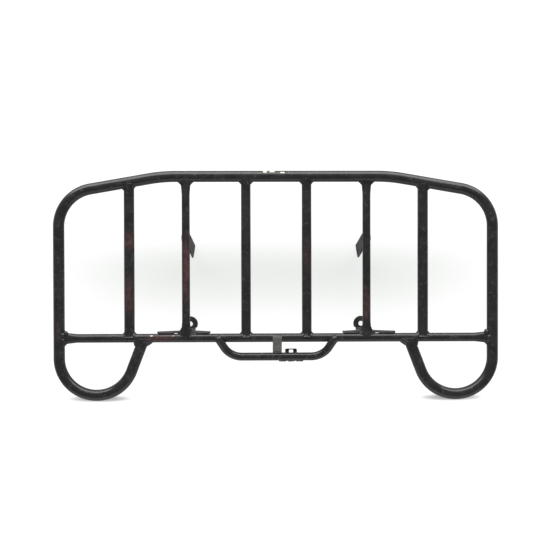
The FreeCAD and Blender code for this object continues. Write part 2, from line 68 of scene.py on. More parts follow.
# Tube radii and the half sizes of the pressed ends
PERIMETER_R = 11.1
CROSS_R = 8.65
HOOP_R = 7.95
BRACKETED_R = 7.95
SLATS = (("outer", 290.0, 10.3, (3.4, 4.0)), ("bracketed", 178.5, BRACKETED_R, (6.0, 6.0)),
         ("inner", 60.0, 9.525, (4.4, 5.0)))     # name, place, radius, reach of the weld at the front edge
SLAT_END = (9.65, 6.1)
CROSS_END = (11.0, 5.8)
PRESSED_TAPER = 28.0
TUBE_COLUMNS = 40
CUT_END = 0.9                # size of the ring inside a cut end, as a share of the section

# Centre hoop, strap and slotted tab, from the axis of the hoop's rear bar
HOOP_LEG_X = 115.0
HOOP_CORNER_X = 91.5
HOOP_REACH = 37.3
HOOP_RISE = 13.5
HOOP_BEND_R = 41.0
PLATE_T = 3.0
STRAP_X = 1.4
STRAP_WIDTH = 18.0
STRAP_WRAP = math.radians(28.0)
STRAP_SHORT = 4.0            # what the strap's straight run lacks to the end of its slope
TAB_X = 29.0
TAB_OUTLINE = ((-25.3, -9.7), (25.3, -9.7), (25.3, -0.7), (11.7, -0.7), (11.7, 14.8), (-11.7, 14.8),
               (-11.7, -0.7), (-25.3, -0.7))
TAB_ROUND = 2.5
TAB_SLOT = ((-4.1, -3.1), (4.1, -3.1), (4.1, 12.9), (-4.1, 12.9))
TAB_SLOT_ROUND = 1.2

# Lug brackets, as x and height of the plate along the cross tube
LUG_X = 176.0
LUG_Y = CROSS_Y + 22.5
LUG_R = 15.5
LUG_HOLE_R = 5.0
LUG_NECK_HALF = 11.0
LUG_PLATE_Y = CROSS_Y + CROSS_R + 1.2
LUG_FOLD_R = 2.0
LUG_OUTLINE = ((165.0, 5.0), (187.0, 5.0), (187.0, 54.0), (235.5, 84.0), (235.5, 93.0), (189.15, 93.0),
               (189.15, 81.05), (167.85, 81.05), (167.85, 93.0), (130.5, 93.0), (130.5, 84.0), (165.0, 54.0))
LUG_ROUNDS = (0, 0, 5, 5, 0, 0, 0, 0, 0, 0, 5, 5)

# Stays, as y and height of the web, which leans from its top to its foot
STAY_TOP_X = 172.0
STAY_FOOT_X = 165.0
STAY_FOLD_Z = 76.55
STAY_FOLD_R = 2.5
STAY_SEAT_X = 186.95
STAY_SEAT_Y = (CROSS_Y + 180.0, CROSS_Y + 208.0)
STAY_SEAT_ROUND = 7.0
STAY_OUTLINE = ((CROSS_Y + 208.0, 76.55), (CROSS_Y + 184.0, 0), (CROSS_Y + 157.2, 0), (CROSS_Y + 168.0, 52.0),
                (CROSS_Y + 180.0, 76.55))
STAY_ROUNDS = (0, 6, 6, 6, 0)
STAY_HOLE = (CROSS_Y + 170.6, 17.0)
STAY_HOLE_R = 4.5
STAY_TWIST = 0.16            # slant of the web's foot, along the slat
EDGE_R = 0.7                 # rounding of the plates' cut edges
FACE_INSET = 1.25 * EDGE_R   # where a plate's flat face starts, in from its edge
MITRE_LEAST = 0.4            # keeps the mitre of a sharp corner short

# Welds round tube ends: how far they reach along the tube they sit on, and along the tube that is welded on
WELD_TOE = 0.4
WELD_LIP = 1.6
REAR_WELD = (3.5, 4.0)
BRACKETED_WELD = (8.0, 12.0)
SIDE_WELD = (5.0, 5.0)
ARM_WELD = (6.0, 7.5)
ARM_SKEW = 0.3
COLLAR_COVERED = 0.25        # share of a weld's rows that lie inside the tube it sits on
COLLAR_ROUND = 1.5           # rounding of its hidden end
COLLAR_SINK = 1.2            # how far that end is drawn in
COLLAR_ROWS = 32
COLLAR_COLUMNS = 72
RIPPLE = 3.2                 # spacing of the ripples along a bead
RIPPLE_HEIGHT = 0.25         # heights of the ripples and of the slow lumps round a tube
LUMP_HEIGHT = 0.6
LUMP_WAVES = ((0.5, 2, 1.0), (0.35, 3, 2.3), (0.3, 7, 5.1))     # height, count round the tube, phase by seed

# Lumps where the cross tube meets the sides: in from the side tube's axis, forward, up, radius
SIDE_LUMPS = {-1: ((13.4, 9.6, 2.8, 5.4), (8.0, 7.0, 6.0, 5.0), (8.4, -3.5, 5.6, 4.6)),
              1: ((12.0, 10.8, 3.2, 5.8), (7.6, 0.6, 6.2, 5.0), (9.0, -9.0, 4.6, 4.6))}

# Straight beads of the lug brackets and stays
BEAD_R = 2.8
BEAD_TIP = 0.15              # angle left open at the ends of a bead
BEAD_THIN = 0.02             # least square of its radius there
LUG_BEADS = ((134.5, 157.6), (204.35, 231.5))     # from and to, along the cross tube
LUG_BEAD_Y = CROSS_Y + CROSS_R + 0.6
LUG_BEAD_Z = AXIS_Z + 3.0
STAY_BEADS = (171.95, 185.05)                     # x of the two under each slat
STAY_BEAD_Y = CROSS_Y + 194.2
STAY_BEAD_Z = 83.45
STAY_BEAD_LENGTH = 7

# Caps on the hoop's legs, the strap's beads at its nose on the cross tube and its foot on the hoop, the tab's
CAP_R = HOOP_R + 0.8
CAP_IN = 3.0                 # from the leg's end, along the leg
BALL_TIP = 0.06              # angle left open at the poles of a cap or lump
NOSE_TURN = STRAP_WRAP + 0.1
NOSE_OUT = CROSS_R + 0.6
NOSE_HALF = 6
NOSE_R = 1.9
FOOT_TURN = math.radians(28)
FOOT_HALF = 5
TAB_BEADS = ((-16.87, -HOOP_R, 4.8), (0, -HOOP_R, 4.8), (16.87, -HOOP_R, 4.8),
             (-7.9, HOOP_R, 1.0), (7.9, HOOP_R, 1.0))     # x from the tab, y from the bar's axis, half length
TAB_BEAD_Z = 1.4 - HOOP_R

# Places of wear, and of pale chips that are partly painted glare on the upper edges: x, y, z of the middle,
# half length along x, y and z, strength
DULL_RED = ((-290, 88, 90, 11, 20, 30, 0.85),
            (-290, -18, 90, 11, 38, 30, 0.8),
            (-178.5, 34, 90, 10, 66, 30, 0.95),
            (60, 60, 90, 10, 40, 30, 0.35),
            (178.5, -38, 90, 10, 34, 30, 0.65),
            (-226, CROSS_Y, 90, 28, 9, 30, 0.8),
            (-430, -88, 98, 4, 24, 12, 0.5))
# Pale chips on the tubes' upper edges: partly paint chipped to the primer, partly painted glare where the
# light catches those edges
CHIPS_AND_GLARE = ((-22, 224.5, 96, 5, 4, 5, 1.0),
           (-8, 224.5, 96, 7, 4, 5, 1.0),
           (10, 222.5, 98.7, 3, 2.5, 3, 0.95),
           (15, 222.5, 98.7, 3, 2.5, 3, 0.9),
           (24, 222.5, 98.7, 2.5, 2, 3, 0.85),
           (-246, CROSS_Y + 5, 97, 5, 2, 3, 0.8),
           (-204, CROSS_Y + 5, 97, 2.5, 2, 3, 0.85))
WORN_COLOUR = "#593a3a"
# cream of the chips and of their painted glare
CHIP_AND_GLARE_COLOUR = "#dcd3c6"
CLOUD = 24.0                 # sizes of the paint's clouds, scrapes and brush marks
SCRAPE = 9.0
BRUSH = 7.0
DULLED = 0.3                 # roughness that scuffs and worn places add

# Sockets of a colour Mix node: its share, the colour under, the colour over, and what comes out
SHARE = 0
UNDER = 6
OVER = 7
MIXED = 2

# Floor, lamps and camera, in metres
FLOOR_HALF = 6
PALE_BAND = (("far", 0.62, 0.15), ("Y", 0.125, 0.03), ("Y", -0.125, 0.03))     # clear at, full at
LOOP_SHADE = (("far", 0.364, 0.074), ("Y", -0.2345, 0.0085))                   # middle, half size
SHADE_GONE = 0.8             # cosine of the view to straight down, where the loops' shades are gone
SHADE_FULL = 0.95            # and where they are full
BAND_COLOUR = "#e0e3e0"
SHADE_COLOUR = "#8e908e"
FLOOR_COLOUR = "#9a9a98"     # as it throws light back on the rack
SHADOW_COLOUR = "#8c8c8c"    # as the camera sees its shadows, over the glow
FLOOR_GLOW = 0.92
MIRRORED_SHARE = 0.4         # how bright the floor is in the paint's reflections
ROOM_LIGHT = 0.3
LAMPS = (("wall_past_front_edge", (0, 1.5, 0.65), (0, 0, 0.65), (3.4, 1.3), 58),
         ("table_bounce", (0, -1.2, 0.5), (0, 0, 0.5), (3.0, 1.0), 7))         # place, aim, size, watts
CAMERA_PLACE = (-0.0353, 0.0477, 2.09)
CAMERA_TURN = (-0.01335, -0.01635, -0.00255)
CAMERA_ANGLE = 2 * math.atan(275 / 1012)


def unit(vectors):
    """The same directions with length 1."""
    return vectors / np.linalg.norm(vectors, axis=-1, keepdims=True)


def smooth(share):
    """Eases from 0 to 1: 3 s squared less 2 s cubed."""
    share = np.clip(share, 0, 1)
    return share * share * (3 - 2 * share)


def around(count):
    """Angles round a section, without the repeated last one."""
    return np.arange(count) * (2 * math.pi / count)


def run(start, end, step):
    """Points from start towards end, about a step apart, without the end."""
    count = max(int(np.linalg.norm(end - start) / step), 1)
    return start + np.linspace(0, 1, count, endpoint=False)[:, None] * (end - start)


def rounded_path(corners, radius, step):
    """Straight runs joined by arcs: at each inner corner, the circle of its radius that touches both
    runs. Gives the points and the directions along them."""
    corners = np.array(corners, float)
    parts = []
    start = corners[0]
    for before, corner, after, r in zip(corners, corners[1:-1], corners[2:], radius):
        back = unit(before - corner)
        ahead = unit(after - corner)
        half = math.acos(back @ ahead) / 2
        reach = r / math.tan(half)
        centre = corner + unit(back + ahead) * (r / math.sin(half))
        first = corner + back * reach
        turn = math.pi - 2 * half
        angle = np.linspace(0, turn, max(int(turn * r / step), 12), endpoint=False)[:, None]
        parts.append(run(start, first, step))
        parts.append(centre + np.cos(angle) * (first - centre) - np.sin(angle) * back * r)
        start = corner + ahead * reach
    parts.append(run(start, corners[-1], step))
    parts.append(corners[-1:])
    points = np.concatenate(parts)
    return points, unit(np.gradient(points, axis=0))


def tube(points, directions, up, wide, high):
    """Oval section carried along a path: point + wide cos(a) side + high sin(a) up, where side is the
    direction crossed with up. Wide and high are one number, or one for each point."""
    angle = around(TUBE_COLUMNS)[None, :, None]
    side = unit(np.cross(directions, up))[:, None, :]
    wide = np.broadcast_to(np.reshape(wide, (-1, 1, 1)), (len(points), 1, 1))
    high = np.broadcast_to(np.reshape(high, (-1, 1, 1)), (len(points), 1, 1))
    return points[:, None, :] + wide * np.cos(angle) * side + high * np.sin(angle) * up


def closed_ends(grid):
    """Adds to both ends a smaller ring in the plane of the cut, so that the cut edge stays crisp."""
    first = grid[0].mean(0) + CUT_END * (grid[0] - grid[0].mean(0))
    last = grid[-1].mean(0) + CUT_END * (grid[-1] - grid[-1].mean(0))
    return np.concatenate([first[None], grid, last[None]])


def grid_faces(rows, columns):
    """Quads between neighbours of a grid that is round in its columns."""
    row = np.arange(rows - 1)[:, None]
    column = np.arange(columns)[None, :]
    after = (column + 1) % columns
    below = row + 1
    quads = [row * columns + column, row * columns + after, below * columns + after, below * columns + column]
    return np.stack(quads, -1).reshape(-1, 4)


def cap_faces(rows, columns, first, last):
    """Triangles from the two middle points to the first and the last row."""
    column = np.arange(columns)
    after = (column + 1) % columns
    end = (rows - 1) * columns
    near = np.stack([np.full(columns, first), after, column], -1)
    far = np.stack([np.full(columns, last), end + column, end + after], -1)
    return np.concatenate([near, far])


def volume(points, triangles):
    """Signed volume inside triangles: a sixth of the sum of their triple products."""
    a, b, c = (points[triangles[:, k]] for k in range(3))
    return np.einsum("ij,ij->i", a, np.cross(b, c)).sum() / 6


def outward(points, quads, triangles):
    """The same shell with its faces turned outwards, by the sign of its volume."""
    split = np.concatenate([quads[:, [0, 1, 2]], quads[:, [0, 2, 3]], triangles])
    if volume(points - points.mean(0), split) < 0:
        return points, quads[:, ::-1], triangles[:, ::-1]
    return points, quads, triangles


def shell(grid):
    """Closed shell of a grid that is round in its columns, with a fan over each end."""
    rows, columns = grid.shape[:2]
    count = rows * columns
    points = np.concatenate([grid.reshape(-1, 3), grid[0].mean(0)[None], grid[-1].mean(0)[None]])
    return outward(points, grid_faces(rows, columns), cap_faces(rows, columns, count, count + 1))


def rounded_outline(corners, radius, step):
    """Closed outline in a plane: runs between the corners, with an arc of its radius in each round one."""
    corners = np.array(corners, float)
    parts = []
    for before, corner, after, r in zip(np.roll(corners, 1, 0), corners, np.roll(corners, -1, 0), radius):
        back = unit(before - corner)
        ahead = unit(after - corner)
        half = math.acos(np.clip(back @ ahead, -1, 1)) / 2
        reach = r / math.tan(half)
        centre = corner + unit(back + ahead) * (r / math.sin(half))
        angle = np.linspace(0, math.pi - 2 * half, 9 if r > 0 else 1)[:, None]
        first = corner + back * reach
        parts.append(centre + np.cos(angle) * (first - centre) - np.sin(angle) * back * r)
    ends = np.array([part[-1] for part in parts])
    starts = np.array([part[0] for part in parts])
    loop = []
    for part, end, start in zip(parts, ends, np.roll(starts, -1, 0)):
        loop.append(part[:-1])
        loop.append(run(end, start, step))
    return np.concatenate(loop)


def inset(loop, distance):
    """The outline moved to its left by the distance: each point goes along the mitre of its two runs."""
    ahead = unit(np.roll(loop, -1, 0) - loop)
    behind = unit(loop - np.roll(loop, 1, 0))
    mitre = unit(np.stack([-ahead[:, 1] - behind[:, 1], ahead[:, 0] + behind[:, 0]], -1))
    lean = np.clip(mitre[:, 0] * -ahead[:, 1] + mitre[:, 1] * ahead[:, 0], MITRE_LEAST, 1)
    return loop + mitre * (distance / lean)[:, None]


def filled(loops):
    """Triangles, anticlockwise, that fill flat loops and leave out the holes: the Delaunay net held to the
    loops' edges, less those with an even count of edges to the right of their middle. They count through
    the loops' points in order."""
    inside_only = 1
    touching = 1e-6
    points = np.concatenate(loops)
    ahead = np.concatenate([np.roll(loop, -1, 0) for loop in loops])
    count = np.cumsum([0] + [len(loop) for loop in loops])
    after = np.concatenate([first + np.roll(np.arange(len(loop)), -1) for first, loop in zip(count, loops)])
    edges = np.column_stack([np.arange(len(points)), after]).tolist()
    net = delaunay_2d_cdt([Vector(p) for p in points.tolist()], edges, [], inside_only, touching)
    origin = np.array([own[0] for own in net[3]])
    triangles = origin[np.array(net[2])]
    x, y = np.moveaxis(points[triangles].mean(1)[:, None, :], -1, 0)
    rise = ahead[:, 1] - points[:, 1]
    share = (y - points[:, 1]) / np.where(rise == 0, 1, rise)
    to_right = points[:, 0] + share * (ahead[:, 0] - points[:, 0]) > x
    level_with = (ahead[:, 1] > y) != (points[:, 1] > y)
    return triangles[(level_with & to_right).sum(1) % 2 == 1]


def plate_shell(loops, place):
    """Flat plate from its outline (anticlockwise) and holes (clockwise): each wall runs from face to face
    over a quarter round of the edge radius, and both faces are filled between the loops. Place puts
    the two plate coordinates and the depth, from 0 to the thickness, into space."""
    turn = np.linspace(0, math.pi / 2, 4)
    sine = EDGE_R * (1 - np.sin(turn))
    cosine = EDGE_R * (1 - np.cos(turn))
    inward = np.concatenate([[FACE_INSET], sine, cosine, [FACE_INSET]])
    depth = np.concatenate([[0], cosine, PLATE_T - sine, [PLATE_T]])
    points = []
    quads = []
    fronts = []
    backs = []
    count = 0
    for loop in loops:
        rows = [np.column_stack([inset(loop, d), np.full(len(loop), h)]) for d, h in zip(inward, depth)]
        points.extend(rows)
        quads.append(count + grid_faces(len(rows), len(loop)))
        fronts.append(count + np.arange(len(loop)))
        backs.append(count + (len(rows) - 1) * len(loop) + np.arange(len(loop)))
        count += len(rows) * len(loop)
    points = np.concatenate(points)
    fill = filled([points[front, :2] for front in fronts])
    front = np.concatenate(fronts)[fill[:, ::-1]]
    back = np.concatenate(backs)[fill]
    return outward(place(points), np.concatenate(quads), np.concatenate([front, back]))


def marked(points, places):
    """Strength of one kind of mark at each point, worn places and chips with painted glare alike: the
    strongest of the places, each falling off as exp of minus its distance to the power of four."""
    strongest = np.zeros(len(points))
    for x, y, z, half_x, half_y, half_z, strength in places:
        far = (((points - (x, y, z)) / (half_x, half_y, half_z)) ** 2).sum(-1)
        strongest = np.maximum(strongest, strength * np.exp(-far * far))
    return strongest


def make_piece(name, shells, material, nodes, sharp=40.0):
    """One object from closed shells, with its wear marks and its chips with painted glare, in place of CAD
    nodes.
    """
    points = []
    faces = []
    count = 0
    for own, quads, triangles in shells:
        points.append(own)
        faces.extend((quads + count).tolist())
        faces.extend((triangles + count).tolist())
        count += len(own)
    points = np.concatenate(points)
    mesh = bpy.data.meshes.new(name)
    mesh.from_pydata(points * 0.001, [], faces)
    mesh.polygons.foreach_set("use_smooth", np.ones(len(mesh.polygons), bool))
    mesh.set_sharp_from_angle(angle=math.radians(sharp))
    for label, places in (("dull_red", DULL_RED), ("chips_and_glare", CHIPS_AND_GLARE)):
        attribute = mesh.attributes.new(label, "FLOAT", "POINT")
        attribute.data.foreach_set("value", marked(points, places).astype(np.float32))
    mesh.materials.append(material)
    piece = bpy.data.objects.new(name, mesh)
    bpy.context.scene.collection.objects.link(piece)
    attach(piece, "root")
    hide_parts(*nodes)


def linear(hex_colour):
    """An sRGB hex value as linear red, green, blue and 1."""
    channels = [int(hex_colour[i:i + 2], 16) / 255 for i in (1, 3, 5)]
    return [c / 12.92 if c <= 0.04045 else ((c + 0.055) / 1.055) ** 2.4 for c in channels] + [1.0]


def add(tree, kind, inputs=(), **settings):
    """Adds a node: settings are its own values, inputs are pairs of a socket and a value or a link."""
    made = tree.nodes.new(kind)
    for name, value in settings.items():
        setattr(made, name, value)
    for socket, value in inputs:
        if isinstance(value, bpy.types.NodeSocket):
            tree.links.new(value, made.inputs[socket])
        else:
            made.inputs[socket].default_value = value
    return made


def black_paint(name, black, grey, scuff, roughness):
    """Black chassis paint brushed over steel and knocked in use: a dark coat with a soft gloss, cloudy where
    it is thin, pale scuffs where grit has dulled it, dull red where it has worn to the primer, pale chips
    that are partly painted glare on the lit upper edges."""
    material = bpy.data.materials.new(name)
    material.use_nodes = True
    tree = material.node_tree
    tree.nodes.clear()
    place = add(tree, "ShaderNodeTexCoord").outputs["Object"]
    cloud = add(tree, "ShaderNodeTexNoise", [("Vector", place), ("Scale", 1000 / CLOUD), ("Detail", 5.0)])
    scrape = add(tree, "ShaderNodeTexNoise", [("Vector", place), ("Scale", 1000 / SCRAPE), ("Detail", 6.0)])
    brush = add(tree, "ShaderNodeTexNoise", [("Vector", place), ("Scale", 1000 / BRUSH), ("Detail", 1.0)])
    clouded = add(tree, "ShaderNodeMapRange", [("Value", cloud.outputs["Fac"]), ("From Min", 0.4),
                                               ("From Max", 0.64)])
    scuffed = add(tree, "ShaderNodeMapRange", [("Value", scrape.outputs["Fac"]), ("From Min", 0.56),
                                               ("From Max", 0.9)])
    coat = add(tree, "ShaderNodeMix", [(SHARE, clouded.outputs["Result"]), (UNDER, linear(black)),
                                       (OVER, linear(grey))], data_type="RGBA")
    rubbed = add(tree, "ShaderNodeMix", [(SHARE, scuffed.outputs["Result"]), (UNDER, coat.outputs[MIXED]),
                                         (OVER, linear(scuff))], data_type="RGBA")
    red = add(tree, "ShaderNodeAttribute", attribute_name="dull_red")
    uneven = add(tree, "ShaderNodeMapRange", [("Value", scrape.outputs["Fac"]), ("From Min", 0.36),
                                              ("From Max", 0.58), ("To Min", 0.35), ("To Max", 1.0)])
    reddened = add(tree, "ShaderNodeMath", [(0, red.outputs["Fac"]), (1, uneven.outputs["Result"])],
                   operation="MULTIPLY")
    worn = add(tree, "ShaderNodeMix", [(SHARE, reddened.outputs[0]), (UNDER, rubbed.outputs[MIXED]),
                                       (OVER, linear(WORN_COLOUR))], data_type="RGBA")
    # Chips, partly painted glare: pale cream where the chip marks meet the scrape noise
    chip_and_glare_place = add(tree, "ShaderNodeAttribute", attribute_name="chips_and_glare")
    speckled_chips_and_glare = add(tree, "ShaderNodeMath", [(0, chip_and_glare_place.outputs["Fac"]), (1, scrape.outputs["Fac"])],
                 operation="MULTIPLY")
    chips_and_glare = add(tree, "ShaderNodeMapRange", [("Value", speckled_chips_and_glare.outputs[0]), ("From Min", 0.3),
                                               ("From Max", 0.36)])
    skin = add(tree, "ShaderNodeMix", [(SHARE, chips_and_glare.outputs["Result"]), (UNDER, worn.outputs[MIXED]),
                                       (OVER, linear(CHIP_AND_GLARE_COLOUR))], data_type="RGBA")
    dull = add(tree, "ShaderNodeMath", [(0, scuffed.outputs["Result"]), (1, reddened.outputs[0])],
               operation="MAXIMUM")
    gloss = add(tree, "ShaderNodeMapRange", [("Value", dull.outputs[0]), ("To Min", roughness),
                                             ("To Max", roughness + DULLED)])
    bump = add(tree, "ShaderNodeBump", [("Strength", 0.15), ("Distance", 0.0004),
                                        ("Height", brush.outputs["Fac"])])
    paint = add(tree, "ShaderNodeBsdfPrincipled", [("Base Color", skin.outputs[MIXED]), ("IOR", 1.5),
                                                   ("Roughness", gloss.outputs["Result"]),
                                                   ("Normal", bump.outputs["Normal"])])
    add(tree, "ShaderNodeOutputMaterial", [("Surface", paint.outputs["BSDF"])])
    return material


def front_y(x):
    """The front edge's axis: level in the middle, swept back at the slope past the two bends."""
    return FRONT_Y - max(abs(x) - BOW_X, 0) * BOW_SLOPE


def level(x, y):
    """A point at the height of the tubes' axes."""
    return np.array([x, y, AXIS_Z])


def perimeter_grid():
    """Round section along the loops, sides and bowed front; each arm is run on, column by column, to the
    plane of the cross tube's axis, where it is cut off."""
    loop_corner = level(SIDE_X, LOOP_Y - LOOP_DROP)
    way = np.array([-math.sin(ARM_LEAN), math.cos(ARM_LEAN), 0])
    arm_start = loop_corner + way * (LOOP_DROP + ARM_STUB)
    right = [level(BOW_X, FRONT_Y), level(SIDE_X, front_y(SIDE_X)), loop_corner, arm_start]
    left = [p * (-1, 1, 1) for p in right[::-1]]
    bends = (LOOP_BEND_R, CORNER_BEND_R, BOW_BEND_R)
    points, directions = rounded_path(left + right, bends + bends[::-1], step=3.0)
    body = tube(points, directions, UP, PERIMETER_R, PERIMETER_R)
    share = np.linspace(0, 1, 30)[1:, None, None]
    arms = []
    for ring, out in ((body[0], way * (-1, 1, 1)), (body[-1], way)):
        reach = ((CROSS_Y - ring[:, 1]) / out[1])[None, :, None]
        arms.append(ring + share * reach * out)
    return closed_ends(np.concatenate([arms[0][::-1], body, arms[1]]))


def pressed_grid(start, end, radius, pressed, start_cover, end_cover):
    """Straight tube whose ends ease from round to the pressed oval over the taper, clear of what covers
    them."""
    length = np.linalg.norm(end - start)
    points = np.concatenate([run(start, end, step=2.5), end[None]])
    directions = np.broadcast_to(unit(end - start), points.shape)
    distance = np.linalg.norm(points - start, axis=1)
    from_start = (distance - start_cover) / PRESSED_TAPER
    from_end = (length - end_cover - distance) / PRESSED_TAPER
    oval = 1 - smooth(np.minimum(from_start, from_end))
    wide = radius + (pressed[0] - radius) * oval
    high = radius + (pressed[1] - radius) * oval
    return closed_ends(tube(points, directions, UP, wide, high))


def lumps(angle, seed):
    """Slow unevenness of a hand laid bead round its tube: three sine waves with their own phases."""
    return sum(height * np.sin(count * angle + phase * seed) for height, count, phase in LUMP_WAVES)


def collar_grid(root, along, across, half, header_r, size, seed,
                start=0.5, lip=WELD_LIP, hollow=1.6, skew=0.0):
    """Weld round a tube end. Its toe on the header tube follows the saddle where the two tubes meet, the
    square root of the header's radius squared less the height squared. From there it stands out by its first
    size at the sides and by a lip above and below, and thins along its own tube as a power of what is left.
    Skew makes one side fuller. Ripples and slow lumps run round it. Along and across are at a slant where
    the tubes are."""
    angle = around(COLLAR_COLUMNS)[None, :, None]
    share = np.linspace(0, 1, COLLAR_ROWS)[:, None, None]
    height = (half[1] + WELD_TOE) * np.sin(angle)
    saddle = np.sqrt(np.clip(header_r ** 2 - height ** 2, (start + 1.0) ** 2, None))
    inside = start + (saddle - start) * np.clip(share / COLLAR_COVERED, 0, 1)
    outside = np.clip((share - COLLAR_COVERED) / (1 - COLLAR_COVERED), 0, 1)
    distance = inside + size[1] * outside
    left = (1 - outside) ** hollow
    count = round(2 * math.pi * max(half) / RIPPLE)
    uneven = RIPPLE_HEIGHT * np.cos(count * angle + 4 * share) + LUMP_HEIGHT * lumps(angle, seed)
    bulge = np.sin(math.pi * share) ** 0.6 * uneven
    rounding = np.sqrt(1 - np.clip((start + COLLAR_ROUND - distance) / COLLAR_ROUND, 0, 1) ** 2)
    sunk = COLLAR_SINK * (1 - rounding)
    flare = size[0] * left * (1 + skew * np.cos(angle))
    wide = half[0] + WELD_TOE + (flare + bulge) * rounding - sunk
    high = half[1] + WELD_TOE + (lip * left + bulge) * rounding - sunk
    return root + along * distance + across * wide * np.cos(angle) + UP * high * np.sin(angle)


def bead_grid(start, end, radius, seed):
    """Short straight bead: a rod with round ends whose radius swells and sinks with the ripples."""
    length = np.linalg.norm(end - start)
    way = unit(end - start)
    off_axis = (0.31, 0.52, 0.79)
    side = unit(np.cross(way, off_axis))
    other = np.cross(way, side)
    turn = np.linspace(BEAD_TIP, math.pi - BEAD_TIP, 41)
    reach = length / 2 + radius
    along = reach - reach * np.cos(turn) - radius
    inside = np.clip(along, 0, length)
    thick = np.sqrt(np.clip(radius ** 2 - (along - inside) ** 2, BEAD_THIN, None))
    swell = (1 + 0.1 * np.cos(2 * math.pi * along / RIPPLE + seed)
             + 0.06 * np.sin(0.5 * along + 2 * seed))
    thick = (thick * swell)[:, None, None]
    angle = around(20)[None, :, None]
    rows = (start + way * along[:, None])[:, None, :]
    return rows + thick * (np.cos(angle) * side + np.sin(angle) * other)


def blob_grid(centre, radius, seed):
    """Weld cap or lump: a ball whose radius is varied by slow waves over its two angles."""
    polar = np.linspace(BALL_TIP, math.pi - BALL_TIP, 36)[:, None]
    angle = around(48)[None, :]
    size = radius * (0.95 + 0.03 * np.sin(3 * polar + seed) * np.cos(2 * angle + seed)
                     + 0.02 * np.sin(4 * angle + 2 * seed) * np.sin(polar) ** 2)
    way = np.stack([np.sin(polar) * np.cos(angle), np.sin(polar) * np.sin(angle),
                    np.cos(polar) * np.ones_like(angle)], -1)
    return centre + size[..., None] * way


def hoop_corners():
    """The hoop's path before it is bent: left leg, two corners, right leg."""
    leg = np.array([HOOP_LEG_X, CROSS_Y, AXIS_Z + HOOP_RISE])
    corner = np.array([HOOP_CORNER_X, CROSS_Y - HOOP_REACH, AXIS_Z])
    flip = np.array([-1, 1, 1])
    return [leg * flip, corner * flip, corner, leg]


def hoop_grid():
    """Round section along the hoop: leg, bend, rear bar, bend, leg, all in one tilted plane."""
    points, directions = rounded_path(hoop_corners(), (HOOP_BEND_R, HOOP_BEND_R), step=1.5)
    up = unit(np.array([0, -HOOP_RISE, HOOP_REACH]))
    return closed_ends(tube(points, directions, up, HOOP_R, HOOP_R))


def hoop_bar(x, dy, dz):
    """A point given from the axis of the hoop's rear bar."""
    return np.array([x, CROSS_Y - HOOP_REACH + dy, AXIS_Z + dz])


def rounded_rectangle(half_wide, half_high, edge, columns):
    """Outline of a plate's section: a corner arc of the edge radius in each quarter turn."""
    quarter = np.linspace(0, math.pi / 2, columns)
    turns = np.concatenate([quarter + k * math.pi / 2 for k in range(4)])
    middle = np.repeat([[1, 1], [-1, 1], [-1, -1], [1, -1]], columns, axis=0)
    middle = middle * (half_wide - edge, half_high - edge)
    return middle + edge * np.stack([np.cos(turns), np.sin(turns)], -1)


def strap_grid():
    """Plate section carried over the cross tube on an arc, then straight on to the hoop's rear bar."""
    middle_r = CROSS_R + PLATE_T / 2
    slope = math.asin(middle_r / HOOP_REACH)
    angle = np.linspace(STRAP_WRAP, -slope, 24)
    y = CROSS_Y + middle_r * np.sin(angle)
    z = AXIS_Z + middle_r * np.cos(angle)
    over = np.stack([np.full(len(angle), STRAP_X), y, z], -1)
    down = np.array([0, -math.cos(slope), -math.sin(slope)])
    end = over[-1] + down * (HOOP_REACH * math.cos(slope) - STRAP_SHORT)
    points = np.concatenate([over[:-1], run(over[-1], end, step=1.5), end[None]])
    directions = unit(np.gradient(points, axis=0))
    normal = np.cross(EAST, directions)
    section = rounded_rectangle(STRAP_WIDTH / 2, PLATE_T / 2, EDGE_R, 6)
    across = section[None, :, :1] * EAST
    return closed_ends(points[:, None, :] + across + section[None, :, 1:] * normal[:, None, :])


def circle(middle, radius, count):
    """Clockwise circle in a plane, as a hole's loop."""
    angle = -around(count)
    return np.array(middle) + radius * np.stack([np.cos(angle), np.sin(angle)], -1)


def tab_shell():
    """Slotted ear on its longer base, level under the hoop's rear bar."""
    outline = rounded_outline(TAB_OUTLINE, (TAB_ROUND,) * len(TAB_OUTLINE), step=1.5)
    slot = rounded_outline(TAB_SLOT, (TAB_SLOT_ROUND,) * len(TAB_SLOT), step=1.5)[::-1]
    corner = hoop_bar(TAB_X, 0, -HOOP_R - PLATE_T)
    return plate_shell([outline, slot], lambda p: corner + p)


def folded(centre, first, second, bend, half_wide, lengthwise):
    """Plate section carried round a quarter bend: it turns from the first direction to the second about
    the centre, and the section's long side lies along lengthwise."""
    angle = np.linspace(0, math.pi / 2, 12)[:, None]
    out = np.cos(angle) * first + np.sin(angle) * second
    points = centre + bend * out
    section = rounded_rectangle(half_wide, PLATE_T / 2, EDGE_R, 5)
    across = section[None, :, :1] * lengthwise
    return closed_ends(points[:, None, :] + across + section[None, :, 1:] * out[:, None, :])


